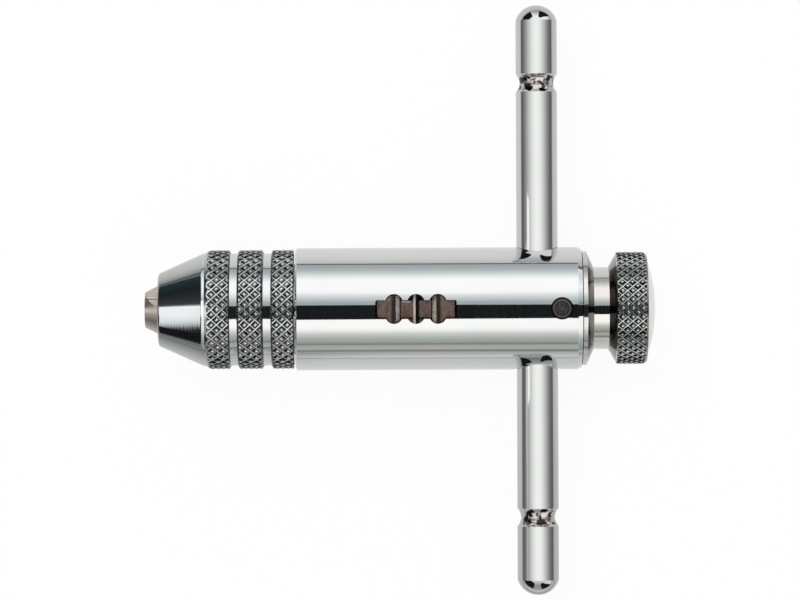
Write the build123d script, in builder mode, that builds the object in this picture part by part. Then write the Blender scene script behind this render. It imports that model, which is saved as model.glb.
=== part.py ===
from build123d import *
from math import atan, cos, degrees, radians, sin, sqrt
import os

# Reversible ratchet tap wrench with a sliding cross bar, lying on its side.
# +X runs from the jaw mouth along the tool axis to the selector knob, +Y along
# the sliding bar, and +Z out through the pawl window. The origin is on the tool
# axis, at the front face of the closed jaws. All lengths are in millimetres.

# Clearances
running_fit = 0.03          # radial, a journal in its bore
sliding_fit = 0.05          # radial or per side, a sliding or screwed pair
seat_fit = 0.02             # radial, a pressed or keyed piece in its seat
loose_fit = 0.15            # radial, the bar in its hole and rings in grooves
travel_gap = 0.25           # left between two pieces at the end of a travel
cut_overlap = 0.5           # how far a groove's cutter starts outside the metal

# Chuck nose
nose_front = 2.22           # the closed jaws stand this far out of the nose
nose_front_radius = 6.02
nose_edge_round = 0.5
nose_cone_length = 7.18
band_lead = 0.5             # from the cone's end to the first band
band_lengths = (4.04, 4.36, 3.77)
band_spacing = 1.265        # length of the grooves between the bands
band_step = 0.25            # the bands lie this far below the housing's skin
band_height = 0.6           # from a groove up to a band
band_flank = 0.1            # square foot of a band's side
band_edge = 0.33            # axial length of the slope above it
rear_edge_length = 0.27
rear_edge_depth = 0.45
nose_gap = 0.23             # between the nose and the housing, jaws closed
nose_wall = 1.75            # between the grooves and the bore
mouth_clearance = 0.1       # radial, round the jaws
thread_pitch = 1.0
stop_ring_from_rear = 1.37
stop_ring_width = 0.8
stop_ring_depth = 0.55      # how deep it sits in the nose

# Housing, a chromed tube that carries everything
housing_radius = 10.2
housing_edge = 0.3
body_wall = 3.3             # round the stem and the fork
front_wall = 2.45           # round the spindle's journal
bush_seat_wall = 1.8
rear_bevel_length = 0.75
rear_bevel_depth = 0.3
window_from_front = 20.0
bar_from_window = 20.26
rear_from_bar = 7.29

# Sliding bar
bar_radius = 3.45
bar_length = 98.4
bar_offset = 1.37           # the bar's middle stands this far along +Y in the photograph
bar_dome_radius = 3.6
bar_groove_from_end = 13.0
bar_groove_depth = 0.64
bar_groove_arc = 2.05
bar_hole_round = 0.45       # rounded rim of the bar hole

# Selector knob and its stem
knob_throw = 2.45           # slide each way from the middle, locked place
stem_web = 0.3              # left between the spigot and the bar's slot
knob_step = 0.82            # the knob lies this far below the housing's skin
knob_cone_length = 1.45
knob_band_length = 4.4
knob_edge_length = 0.5
knob_edge_depth = 0.98
knob_dome_height = 1.5
neck_gap = 0.1              # from the knob's cone to the bush, knob pushed in
ball_slot_clearance = 0.2

# Rear bush
bush_seat_length = 1.15
collar_step = 0.68          # the collar lies this far below the housing's skin
bush_collar_length = 0.85
bush_cone_length = 1.1
bush_rear_wall = 0.2

# Pawl window, pawl and the pin it rocks on
window_half_length = 6.7
window_half_height = 1.45
window_corner = 0.3
lobe_pitch = 3.62
lobe_half_height = 2.47
pin_depth = 1.9             # from the housing's skin to the pin's axis
pin_radius = 0.5
pin_reach = 4.0             # depth of the pin's notches, from the tool axis
pawl_step = 0.8             # the pawl lies this far below the housing's skin
pawl_half_length = 6.4
pawl_lift = 0.9             # of the pawl's underside above the tooth tips
pawl_foot_inner = 4.75      # inner face of each foot, from the pivot
ear_gap = 0.2               # pawl ears in the window's outer lobes
ear_lift = 0.08             # between the ears and the fork's rails
recess_half_top = 3.4
recess_half_floor = 2.75
recess_depth = 1.3
recess_rim_round = 0.9
recess_floor_round = 0.2

# Ratchet rings
tooth_count = 12
tooth_gap = 0.13            # radial, between the tooth tips and the fork's spigot
tooth_depth = 1.2
tooth_face_offset = 0.5     # the drive faces stand this far off the radial line
tooth_land = 0.45
pawl_tip_lift = 0.76        # of the pawl's teeth above the roots, half engaged
ring_width = 3.0
ratchet_reach = 7.2         # outer face of each ring, from the pivot

# Shift fork, a slotted spring-steel tube
fork_wall = 1.4
fork_slot_half_width = 1.55
fork_slot_gap = 0.45        # between the slot's end and the pawl, knob pushed in
fork_end_gap = 0.1
roof_drop = 0.33            # from the fork's skin to the rails' highest point
roof_slope = 0.142
roof_half_length = 7.5
fork_pin_radius = 0.75

# Spindle
spindle_front_gap = 0.4     # behind the end of the nose's inner cone
spindle_edge = 0.5
jaw_slot_floor = 16.6
relief_depth = 0.55
journal_length = 8.95
shoulder_step = 0.7         # from the tooth tips down to the shoulder
ring_wall = 0.9             # from the tooth roots down to the shank
shank_flat_depth = 0.45
shank_land = 0.53           # behind the clip's groove
shank_end_gap = 0.3         # between shank and spigot, knob pushed in
washer_thickness = 0.9
spacer_wall = 0.8
clip_thickness = 0.5
clip_groove_depth = 0.6
clip_height = 1.2           # from the shank's skin to the clip's rim
clip_opening = 80.0         # degrees missing from the clip
spindle_ring_inset = 1.05   # from the journal's rear face
spindle_ring_wire = 0.55
ring_opening = 20.0         # degrees missing from each split ring

# Jaws
jaw_tip_radius = 2.95
jaw_slope = 0.5
jaw_bore_gap = 0.08         # between the open jaws and the nose's bore
jaw_half_width = 3.15
jaw_slot_clearance = 0.05
jaw_half_gap = 0.03         # from the split plane to each closed jaw
jaw_tilt = 45.0             # degrees, from +Z towards +Y, of the jaws' flats
smallest_square = 2.5
largest_square = 5.5
v_groove_length = 10.4
jaw_spring_x = 13.2
jaw_spring_radius = 0.9
jaw_spring_wire = 0.17
jaw_spring_length = 4.8
jaw_spring_turns = 7

# Bar detent
plug_from_bar = 3.81
plug_radius = 1.85
plug_step = 0.25            # the plug lies this far below the housing's skin
plug_thickness = 0.95
ball_radius = 1.75
detent_spring_radius = 1.35
detent_spring_wire = 0.22
detent_spring_turns = 4

# Travels that follow from the sizes above
jaw_travel = (largest_square - smallest_square) / sqrt(2)
nose_travel = jaw_travel / jaw_slope

# Radii and heights that follow from them
skin_reach = housing_radius + 1
body_bore_radius = housing_radius - body_wall
front_bore_radius = housing_radius - front_wall
journal_radius = front_bore_radius - running_fit
band_radius = housing_radius - band_step
groove_radius = band_radius - band_height
nose_bore_radius = groove_radius - nose_wall
thread_radius = nose_bore_radius - sliding_fit
relief_radius = thread_radius - relief_depth
stop_groove_radius = nose_bore_radius + stop_ring_depth
mouth_radius = jaw_tip_radius + jaw_slope * nose_front + mouth_clearance
jaw_radius = nose_bore_radius - jaw_travel - jaw_bore_gap
bush_seat_radius = housing_radius - bush_seat_wall
bush_collar_radius = housing_radius - collar_step
stem_radius = body_bore_radius - sliding_fit
knob_radius = housing_radius - knob_step
dome_start_radius = knob_radius - knob_edge_depth
fork_outer_radius = stem_radius - seat_fit
spigot_radius = fork_outer_radius - fork_wall
roof_peak_z = fork_outer_radius - roof_drop
tooth_tip_radius = spigot_radius - tooth_gap
tooth_root_z = tooth_tip_radius - tooth_depth
shoulder_radius = tooth_tip_radius - shoulder_step
shank_radius = tooth_root_z - ring_wall
shank_flat = shank_radius - shank_flat_depth
spacer_radius = shank_radius + spacer_wall
clip_groove_radius = shank_radius - clip_groove_depth
clip_radius = shank_radius + clip_height
pawl_underside = tooth_tip_radius + pawl_lift
pin_z = housing_radius - pin_depth
pawl_top = housing_radius - pawl_step
recess_floor = pawl_top - recess_depth
pawl_tip_z = tooth_root_z + pawl_tip_lift
plug_top = housing_radius - plug_step
plug_bottom = plug_top - plug_thickness
ball_z = sqrt((bar_radius + ball_radius + sliding_fit) ** 2 - plug_from_bar**2)

# Places along the tool axis, from the jaws to the knob
nose_cone_end = nose_front + nose_cone_length
bore_cone_rear = nose_front + (nose_bore_radius - mouth_radius) / jaw_slope
spindle_front = bore_cone_rear + spindle_front_gap
jaw_cone_rear = (jaw_radius - jaw_tip_radius) / jaw_slope
jaw_rear = jaw_slot_floor - sliding_fit
bands_rear = nose_cone_end + band_lead + sum(band_lengths) + 2 * band_spacing
nose_rear = bands_rear + rear_edge_length
stop_ring_front = nose_rear - stop_ring_from_rear
thread_rear = stop_ring_front - nose_travel - travel_gap
housing_front = nose_rear + nose_gap
journal_rear = housing_front + journal_length
spindle_ring_x = journal_rear - spindle_ring_inset
washer_front = journal_rear + sliding_fit
front_bore_rear = washer_front + washer_thickness
fork_front = front_bore_rear + knob_throw + travel_gap
window_x = housing_front + window_from_front
shoulder_rear = window_x - ratchet_reach
rear_ring_front = window_x + ratchet_reach - ring_width
clip_front = window_x + ratchet_reach + seat_fit
shank_rear = clip_front + clip_thickness + shank_land
fork_slot_rear = window_x + pawl_half_length + knob_throw + fork_slot_gap
spigot_front = shank_rear + knob_throw + shank_end_gap
bar_x = window_x + bar_from_window
spigot_rear = bar_x - bar_radius - loose_fit - knob_throw - stem_web
fork_rear = spigot_rear - fork_end_gap
fork_pin_x = (spigot_front + fork_rear) / 2
plug_x = bar_x + plug_from_bar
housing_rear = bar_x + rear_from_bar
bush_seat_front = housing_rear - bush_seat_length
bush_collar_rear = housing_rear + bush_collar_length
bush_rear = bush_collar_rear + bush_cone_length
neck_rear = bush_rear + knob_throw + neck_gap
knob_cone_rear = neck_rear + knob_cone_length
knob_band_rear = knob_cone_rear + knob_band_length
dome_start = knob_band_rear + knob_edge_length
knob_rear = dome_start + knob_dome_height

# The jaws open and close along this direction, square to their flats' own
jaw_way = Vector(0, cos(radians(jaw_tilt)), -sin(radians(jaw_tilt)))


def turned_profile(*points):
    """A closed outline of (x, radius) points, to be turned about the tool axis."""
    with BuildSketch(Plane.XY, mode=Mode.PRIVATE) as profile:
        with BuildLine():
            Polyline(*points, close=True)
        make_face()
    return profile.sketch


def groove_profile(front, rear, inner, outer):
    """A rectangle along the tool axis, for a turned groove, ring or washer."""
    return turned_profile((front, inner), (front, outer), (rear, outer), (rear, inner))


def window_outline(shrink, lobe_shrink, lobe_places):
    """The lobed window seen from +Z, drawn smaller for the pawl that fills it."""
    with BuildSketch(Plane.XY, mode=Mode.PRIVATE) as outline:
        with Locations((window_x, 0)):
            RectangleRounded(
                2 * (window_half_length - shrink[0]),
                2 * (window_half_height - shrink[1]),
                window_corner,
            )
        with Locations([(window_x + place * lobe_pitch, 0) for place in lobe_places]):
            SlotOverall(
                2 * (lobe_half_height - lobe_shrink),
                2 * (window_half_height - lobe_shrink),
                rotation=90,
            )
    return outline.sketch


def keyed_profile(x, clearance):
    """The shank's round with its two flats, at x, opened out by a clearance."""
    with BuildSketch(Plane.YZ.offset(x), mode=Mode.PRIVATE) as profile:
        Circle(shank_radius + clearance)
        Rectangle(
            2 * (shank_radius + clearance),
            2 * (shank_flat + clearance),
            mode=Mode.INTERSECT,
        )
    return profile.sketch


def roof_height(x):
    """Height of the fork's sloping rails at x, highest under the pawl's pivot."""
    return roof_peak_z - roof_slope * abs(x - window_x)


# Housing: turned and bored tube, with the window, the pin's notches, the bar hole
# and the detent bore
with BuildPart() as housing:
    revolve(
        turned_profile(
            (housing_front, front_bore_radius),
            (housing_front, housing_radius - housing_edge),
            (housing_front + housing_edge, housing_radius),
            (housing_rear - rear_bevel_length, housing_radius),
            (housing_rear, housing_radius - rear_bevel_depth),
            (housing_rear, bush_seat_radius),
            (bush_seat_front, bush_seat_radius),
            (bush_seat_front, body_bore_radius),
            (front_bore_rear, body_bore_radius),
            (front_bore_rear, front_bore_radius),
        ),
        axis=Axis.X,
    )
    with BuildSketch(Plane.XZ):
        with Locations((bar_x, 0)):
            Circle(bar_radius + loose_fit)
    extrude(amount=skin_reach, both=True, mode=Mode.SUBTRACT)
    rims = housing.edges().filter_by(GeomType.BSPLINE).group_by(lambda rim: abs(rim.center().Y))
    fillet(rims[-1], radius=bar_hole_round)
    revolve(
        groove_profile(
            spindle_ring_x - spindle_ring_wire - loose_fit,
            spindle_ring_x + spindle_ring_wire + loose_fit,
            front_bore_radius - cut_overlap,
            journal_radius + spindle_ring_wire + seat_fit,
        ),
        axis=Axis.X,
        mode=Mode.SUBTRACT,
    )
    extrude(window_outline((0, 0), 0, (-1, 0, 1)), amount=skin_reach, mode=Mode.SUBTRACT)
    with BuildSketch(Plane.XY):
        with Locations((plug_x, 0)):
            Circle(plug_radius)
    extrude(amount=skin_reach, mode=Mode.SUBTRACT)
    with BuildSketch(Plane.XZ):
        with Locations((window_x, pin_z)):
            Circle(pin_radius + seat_fit)
        with Locations((window_x, pin_z / 2)):
            Rectangle(2 * (pin_radius + seat_fit), pin_z)
    extrude(amount=pin_reach, both=True, mode=Mode.SUBTRACT)

# Rear bush: pressed into the rear bore, guides the stem
with BuildPart() as rear_bush:
    revolve(
        turned_profile(
            (bush_seat_front, body_bore_radius),
            (bush_seat_front, bush_seat_radius - seat_fit),
            (housing_rear, bush_seat_radius - seat_fit),
            (housing_rear, bush_collar_radius - rear_bevel_depth),
            (housing_rear + loose_fit, bush_collar_radius),
            (bush_collar_rear, bush_collar_radius),
            (bush_rear, body_bore_radius + bush_rear_wall),
            (bush_rear, body_bore_radius),
        ),
        axis=Axis.X,
    )

# Sliding bar: ground rod with domed ends and a detent groove near each end
bar_half = bar_length / 2
bar_dome_depth = bar_dome_radius - sqrt(bar_dome_radius**2 - bar_radius**2)
groove_centre = bar_half - bar_groove_from_end
groove_half_width = sqrt(bar_groove_arc**2 - (bar_groove_arc - bar_groove_depth) ** 2)
with BuildPart() as sliding_bar:
    with BuildSketch(Plane(origin=(bar_x, bar_offset, 0), x_dir=(0, 1, 0), z_dir=(0, 0, 1))):
        with BuildLine():
            for end in (1, -1):
                RadiusArc(
                    (end * bar_half, 0),
                    (end * (bar_half - bar_dome_depth), bar_radius),
                    -end * bar_dome_radius,
                )
                Line(
                    (end * (bar_half - bar_dome_depth), bar_radius),
                    (end * (groove_centre + groove_half_width), bar_radius),
                )
                ThreePointArc(
                    (end * (groove_centre + groove_half_width), bar_radius),
                    (end * groove_centre, bar_radius - bar_groove_depth),
                    (end * (groove_centre - groove_half_width), bar_radius),
                )
            Line(
                (groove_centre - groove_half_width, bar_radius),
                (groove_half_width - groove_centre, bar_radius),
            )
            Line((-bar_half, 0), (bar_half, 0))
        make_face()
    revolve(axis=Axis((bar_x, 0, 0), (0, 1, 0)))

# Selector knob: knob and stem turned in one, slotted for the bar and the detent ball
dome_radius = (dome_start_radius**2 + knob_dome_height**2) / (2 * knob_dome_height)
with BuildPart() as selector_knob:
    with BuildSketch(Plane.XY):
        with BuildLine():
            Polyline(
                (knob_rear, 0),
                (spigot_front, 0),
                (spigot_front, spigot_radius),
                (spigot_rear, spigot_radius),
                (spigot_rear, stem_radius),
                (neck_rear, stem_radius),
                (knob_cone_rear, knob_radius),
                (knob_band_rear, knob_radius),
            )
            TangentArc(
                (knob_band_rear, knob_radius),
                (dome_start, dome_start_radius),
                tangent=(1, 0),
            )
            RadiusArc((dome_start, dome_start_radius), (knob_rear, 0), dome_radius)
        make_face()
    revolve(axis=Axis.X)
    with BuildSketch(Plane.XZ):
        with Locations((bar_x, 0)):
            SlotCenterToCenter(2 * knob_throw, 2 * (bar_radius + loose_fit))
    extrude(amount=skin_reach, both=True, mode=Mode.SUBTRACT)
    with BuildSketch(Plane.XY.offset(ball_z - ball_radius - loose_fit)):
        with Locations((plug_x, 0)):
            SlotCenterToCenter(2 * knob_throw, 2 * (ball_radius + ball_slot_clearance))
    extrude(amount=skin_reach, mode=Mode.SUBTRACT)
    with BuildSketch(Plane.XZ):
        with Locations((fork_pin_x, 0)):
            Circle(fork_pin_radius + seat_fit)
    extrude(amount=skin_reach, both=True, mode=Mode.SUBTRACT)

# Shift fork: spring tube whose two sloping rails rock the pawl
roof_end_z = roof_height(window_x + roof_half_length)
with BuildPart() as shift_fork:
    revolve(
        groove_profile(fork_front, fork_rear, spigot_radius + seat_fit, fork_outer_radius),
        axis=Axis.X,
    )
    with BuildSketch(Plane.XY):
        with Locations(((fork_front + fork_slot_rear) / 2, 0)):
            Rectangle(fork_slot_rear - fork_front, 2 * fork_slot_half_width)
    extrude(amount=skin_reach, mode=Mode.SUBTRACT)
    with BuildSketch(Plane.XZ):
        with BuildLine():
            Polyline(
                (window_x - roof_half_length, roof_end_z),
                (window_x, roof_peak_z),
                (window_x + roof_half_length, roof_end_z),
                (window_x + roof_half_length, skin_reach),
                (window_x - roof_half_length, skin_reach),
                close=True,
            )
        make_face()
    extrude(amount=skin_reach, both=True, mode=Mode.SUBTRACT)
    with BuildSketch(Plane.XZ):
        with Locations((fork_pin_x, 0)):
            Circle(fork_pin_radius + seat_fit)
    extrude(amount=skin_reach, both=True, mode=Mode.SUBTRACT)

# Fork pin: holds the fork on the stem's spigot
with BuildPart() as fork_pin:
    with BuildSketch(Plane.XZ):
        with Locations((fork_pin_x, 0)):
            Circle(fork_pin_radius)
    extrude(amount=fork_outer_radius - sliding_fit, both=True)

# Pawl pin: lies in two notches of the bore and crosses the window's middle lobe
with BuildPart() as pawl_pin:
    with BuildSketch(Plane.XZ):
        with Locations((window_x, pin_z)):
            Circle(pin_radius)
    extrude(amount=pin_reach - sliding_fit, both=True)

# The saw teeth of the ring in front, which the ring behind has mirrored. Each runs
# from a root up its sloping back to a narrow land and falls back along its drive face.
tooth_tip_z = sqrt(tooth_tip_radius**2 - tooth_face_offset**2)
land_y = tooth_face_offset + tooth_land
land_z = sqrt(tooth_tip_radius**2 - land_y**2)
tooth_angle = radians(360 / tooth_count)
land_end = Vector(-land_y, land_z).rotate(Axis.Z, -360 / tooth_count)
tooth_back_slope = (land_end.Y - tooth_root_z) / (land_end.X + tooth_face_offset)


def ratchet_ring(front, hand):
    """One hardened saw-tooth ring from its front face; hand is 1 or -1."""
    points = []
    for tooth in range(tooth_count):
        for y, z, step in (
            (-tooth_face_offset, tooth_root_z, tooth),
            (-land_y, land_z, tooth + 1),
            (-tooth_face_offset, tooth_tip_z, tooth + 1),
        ):
            turn = tooth_angle * step
            points.append((hand * (y * cos(turn) + z * sin(turn)), z * cos(turn) - y * sin(turn)))
    with BuildPart() as ring:
        with BuildSketch(Plane.YZ.offset(front)):
            with BuildLine():
                Polyline(*points, close=True)
            make_face()
        extrude(amount=ring_width)
        extrude(keyed_profile(front, seat_fit), amount=ring_width, mode=Mode.SUBTRACT)
    return ring


# Ratchet rings: keyed on the shank, of opposite hand
front_ratchet_ring = ratchet_ring(shoulder_rear, 1)
rear_ratchet_ring = ratchet_ring(rear_ring_front, -1)

# Pawl: bar with a foot and a tooth at each end and ears that ride on the fork
ear_radius = window_half_height - ear_gap
ear_centre_z = roof_height(window_x + lobe_pitch) + (ear_radius + ear_lift) * sqrt(
    1 + roof_slope**2
)
ear_height = pawl_top - ear_centre_z
ear_xs = (window_x - lobe_pitch, window_x + lobe_pitch)
tooth_face_y = tooth_face_offset - sliding_fit
tooth_side_y = 2 * window_half_height
tooth_side_z = pawl_tip_z + tooth_back_slope * (tooth_side_y + tooth_face_y)
tooth_step_z = tooth_tip_radius + pawl_tip_lift
with BuildPart() as pawl:
    with BuildSketch(Plane.XZ):
        with BuildLine():
            Polyline(
                (window_x - pawl_half_length, pawl_tip_z),
                (window_x - pawl_foot_inner, pawl_tip_z),
                (window_x - pawl_foot_inner, pawl_underside),
                (window_x + pawl_foot_inner, pawl_underside),
                (window_x + pawl_foot_inner, pawl_tip_z),
                (window_x + pawl_half_length, pawl_tip_z),
                (window_x + pawl_half_length, pawl_top),
                (window_x - pawl_half_length, pawl_top),
                close=True,
            )
        make_face()
    extrude(amount=window_half_height - sliding_fit, both=True)
    with BuildSketch(Plane.XZ):
        with Locations([(ear_x, ear_centre_z) for ear_x in ear_xs]):
            Circle(ear_radius)
        with Locations([(ear_x, ear_centre_z + ear_height / 2) for ear_x in ear_xs]):
            Rectangle(2 * ear_radius, ear_height)
    extrude(amount=lobe_half_height - ear_gap, both=True)
    end_gap = window_half_length - pawl_half_length
    extrude(
        window_outline((end_gap, sliding_fit), ear_gap, (-1, 1)),
        amount=pawl_top,
        mode=Mode.INTERSECT,
    )
    rim_reach = recess_half_top + recess_rim_round
    with BuildSketch(Plane.XZ):
        with BuildLine():
            FilletPolyline(
                (window_x - rim_reach, pawl_top),
                (window_x - recess_half_top, pawl_top),
                (window_x - recess_half_floor, recess_floor),
                (window_x + recess_half_floor, recess_floor),
                (window_x + recess_half_top, pawl_top),
                (window_x + rim_reach, pawl_top),
                radius=(recess_rim_round, recess_floor_round, recess_floor_round, recess_rim_round),
            )
            Polyline(
                (window_x + rim_reach, pawl_top),
                (window_x + rim_reach, skin_reach),
                (window_x - rim_reach, skin_reach),
                (window_x - rim_reach, pawl_top),
            )
        make_face()
        with Locations((window_x, pin_z)):
            Circle(pin_radius + sliding_fit)
    extrude(amount=skin_reach, both=True, mode=Mode.SUBTRACT)
    for hand, foot_x in ((1, window_x - pawl_half_length), (-1, window_x + pawl_foot_inner)):
        with BuildSketch(Plane.YZ.offset(foot_x)):
            with BuildLine():
                Polyline(
                    (-hand * tooth_side_y, 0),
                    (-hand * tooth_side_y, tooth_step_z),
                    (-hand * tooth_face_y, tooth_step_z),
                    (-hand * tooth_face_y, pawl_tip_z),
                    (hand * tooth_side_y, tooth_side_z),
                    (hand * tooth_side_y, 0),
                    close=True,
                )
            make_face()
        extrude(amount=pawl_half_length - pawl_foot_inner, mode=Mode.SUBTRACT)

# Spindle: threaded and slotted for the jaws in front, journal, and keyed shank behind
with BuildPart() as spindle:
    revolve(
        turned_profile(
            (spindle_front, 0),
            (spindle_front, thread_radius - spindle_edge),
            (spindle_front + spindle_edge, thread_radius),
            (thread_rear - spindle_edge, thread_radius),
            (thread_rear, relief_radius),
            (housing_front - sliding_fit, relief_radius),
            (housing_front - sliding_fit, journal_radius),
            (journal_rear, journal_radius),
            (journal_rear, shoulder_radius),
            (shoulder_rear, shoulder_radius),
            (shoulder_rear, 0),
        ),
        axis=Axis.X,
    )
    extrude(keyed_profile(shoulder_rear, 0), amount=shank_rear - shoulder_rear)
    with BuildSketch(Plane(origin=(jaw_slot_floor, 0, 0), x_dir=jaw_way, z_dir=(-1, 0, 0))):
        Rectangle(2 * housing_radius, 2 * (jaw_half_width + jaw_slot_clearance))
    extrude(amount=jaw_slot_floor, mode=Mode.SUBTRACT)
    revolve(
        groove_profile(
            spindle_ring_x - spindle_ring_wire - loose_fit,
            spindle_ring_x + spindle_ring_wire + loose_fit,
            journal_radius - spindle_ring_wire - loose_fit,
            journal_radius + cut_overlap,
        ),
        axis=Axis.X,
        mode=Mode.SUBTRACT,
    )
    revolve(
        groove_profile(
            clip_front - seat_fit,
            clip_front + clip_thickness + seat_fit,
            clip_groove_radius,
            shank_radius + cut_overlap,
        ),
        axis=Axis.X,
        mode=Mode.SUBTRACT,
    )

# Ring spacer: plain sleeve that keeps the two rings apart
with BuildPart() as ring_spacer:
    revolve(
        groove_profile(
            shoulder_rear + ring_width,
            rear_ring_front,
            shank_radius + seat_fit,
            spacer_radius,
        ),
        axis=Axis.X,
    )

# Shank clip: open spring clip behind the rear ring
with BuildPart() as shank_clip:
    revolve(
        groove_profile(
            clip_front,
            clip_front + clip_thickness,
            clip_groove_radius + seat_fit,
            clip_radius,
        ),
        axis=Axis.X,
        revolution_arc=360 - clip_opening,
    )

# Thrust washer: between the spindle's journal and the housing's shoulder
with BuildPart() as thrust_washer:
    revolve(
        groove_profile(
            washer_front,
            front_bore_rear,
            shoulder_radius + loose_fit,
            front_bore_radius - seat_fit,
        ),
        axis=Axis.X,
    )

# Spindle ring: split wire ring that holds the spindle in the housing
with BuildPart() as spindle_ring:
    with BuildSketch(Plane.XY):
        with Locations((spindle_ring_x, journal_radius)):
            Circle(spindle_ring_wire)
    revolve(axis=Axis.X, revolution_arc=360 - ring_opening)

# Jaws: two halves of one coned bar, each with a 90 degree groove for the tap's square
v_depth = smallest_square / sqrt(2)
jaws = []
for side in (1, -1):
    across = Plane(origin=(0, 0, 0), x_dir=jaw_way * side, z_dir=(1, 0, 0))
    with BuildPart() as jaw:
        revolve(
            turned_profile(
                (0, 0),
                (0, jaw_tip_radius),
                (jaw_cone_rear, jaw_radius),
                (jaw_rear, jaw_radius),
                (jaw_rear, 0),
            ),
            axis=Axis.X,
        )
        with BuildSketch(across):
            with Locations((jaw_half_gap + jaw_radius / 2, 0)):
                Rectangle(jaw_radius, 2 * jaw_half_width)
        extrude(amount=jaw_rear, mode=Mode.INTERSECT)
        with BuildSketch(across):
            with BuildLine():
                Polyline((0, -v_depth), (v_depth, 0), (0, v_depth), close=True)
            make_face()
        extrude(amount=v_groove_length, mode=Mode.SUBTRACT)
        with BuildSketch(Plane(origin=(jaw_spring_x, 0, 0), x_dir=(1, 0, 0), z_dir=jaw_way * side)):
            Circle(jaw_spring_radius + jaw_spring_wire + loose_fit)
        extrude(amount=jaw_spring_length / 2 + loose_fit, mode=Mode.SUBTRACT)
    jaws.append(jaw)
jaw_a, jaw_b = jaws


def coil_spring(foot, way, radius, wire, length, turns):
    """A round-wire compression spring of open coils, from its foot along way."""
    height = length - 2 * wire
    with BuildPart() as spring:
        with BuildLine():
            coil = Helix(height / turns, height, radius, center=foot + way * wire, direction=way)
        with BuildSketch(Plane(origin=coil @ 0, z_dir=coil % 0)):
            RegularPolygon(wire, 8)
        sweep(path=coil, is_frenet=True)
    return spring


# Jaw spring: pushes the jaws apart from blind holes in their split faces
jaw_spring = coil_spring(
    Vector(jaw_spring_x, 0, 0) - jaw_way * (jaw_spring_length / 2),
    jaw_way,
    jaw_spring_radius,
    jaw_spring_wire,
    jaw_spring_length,
    jaw_spring_turns,
)

# Chuck nose: screws along the spindle and closes the jaws with its inner cone. Its
# outside is a cone and three bands, with a groove in front of all but the first.
band_foot_radius = groove_radius + band_flank
outer_line = [(nose_front, nose_front_radius), (nose_cone_end, groove_radius - sliding_fit)]
band_front = nose_cone_end + band_lead
for band_length in band_lengths:
    band_rear = band_front + band_length
    outer_line.append((band_front, band_foot_radius))
    outer_line.append((band_front + band_edge, band_radius))
    outer_line.append((band_rear - band_edge, band_radius))
    outer_line.append((band_rear, band_foot_radius))
    if band_rear < bands_rear - band_spacing:
        outer_line.append((band_rear, groove_radius))
        outer_line.append((band_rear + band_spacing, groove_radius))
    band_front = band_rear + band_spacing
with BuildPart() as chuck_nose:
    revolve(
        turned_profile(
            (nose_front, mouth_radius),
            *outer_line,
            (nose_rear, band_radius - rear_edge_depth),
            (nose_rear, nose_bore_radius),
            (bore_cone_rear, nose_bore_radius),
        ),
        axis=Axis.X,
    )
    front_edges = chuck_nose.edges().filter_by(GeomType.CIRCLE).group_by(Axis.X)[0]
    fillet(front_edges.sort_by(SortBy.RADIUS)[-1], radius=nose_edge_round)
    revolve(
        groove_profile(
            stop_ring_front - sliding_fit,
            stop_ring_front + stop_ring_width + sliding_fit,
            nose_bore_radius - cut_overlap,
            stop_groove_radius,
        ),
        axis=Axis.X,
        mode=Mode.SUBTRACT,
    )

# Nose stop ring: split ring that keeps the nose from being screwed right off
with BuildPart() as nose_stop_ring:
    revolve(
        groove_profile(
            stop_ring_front,
            stop_ring_front + stop_ring_width,
            relief_radius + sliding_fit,
            stop_groove_radius - sliding_fit,
        ),
        axis=Axis.X,
        revolution_arc=360 - ring_opening,
    )

# Bar detent: ball and spring under a plug staked into the housing
with BuildPart() as detent_ball:
    with Locations((plug_x, 0, ball_z)):
        Sphere(ball_radius)

wire_touch = ball_radius + detent_spring_wire + sliding_fit
detent_spring_foot = ball_z + sqrt(wire_touch**2 - detent_spring_radius**2) - detent_spring_wire
detent_spring = coil_spring(
    Vector(plug_x, 0, detent_spring_foot),
    Vector(0, 0, 1),
    detent_spring_radius,
    detent_spring_wire,
    plug_bottom - sliding_fit - detent_spring_foot,
    detent_spring_turns,
)

with BuildPart() as detent_plug:
    with BuildSketch(Plane.XY.offset(plug_bottom)):
        with Locations((plug_x, 0)):
            Circle(plug_radius - seat_fit)
    extrude(amount=plug_thickness)

pieces = {
    "housing": housing,
    "rear_bush": rear_bush,
    "sliding_bar": sliding_bar,
    "selector_knob": selector_knob,
    "shift_fork": shift_fork,
    "fork_pin": fork_pin,
    "pawl_pin": pawl_pin,
    "pawl": pawl,
    "spindle": spindle,
    "front_ratchet_ring": front_ratchet_ring,
    "rear_ratchet_ring": rear_ratchet_ring,
    "ring_spacer": ring_spacer,
    "shank_clip": shank_clip,
    "thrust_washer": thrust_washer,
    "spindle_ring": spindle_ring,
    "jaw_a": jaw_a,
    "jaw_b": jaw_b,
    "jaw_spring": jaw_spring,
    "chuck_nose": chuck_nose,
    "nose_stop_ring": nose_stop_ring,
    "detent_ball": detent_ball,
    "detent_spring": detent_spring,
    "detent_plug": detent_plug,
}
os.makedirs("parts", exist_ok=True)
for name, piece in pieces.items():
    piece.part.label = name
    export_step(piece.part, f"parts/{name}.step")

rock_angle = degrees(atan(roof_slope * knob_throw / lobe_pitch))
print(f"nose travel {nose_travel:.3f} mm in {nose_travel / thread_pitch:.2f} turns")
print(f"jaw travel {jaw_travel:.3f} mm, pawl rocks {rock_angle:.2f} degrees each way")
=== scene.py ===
from math import cos, pi, radians, sin, sqrt

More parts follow.
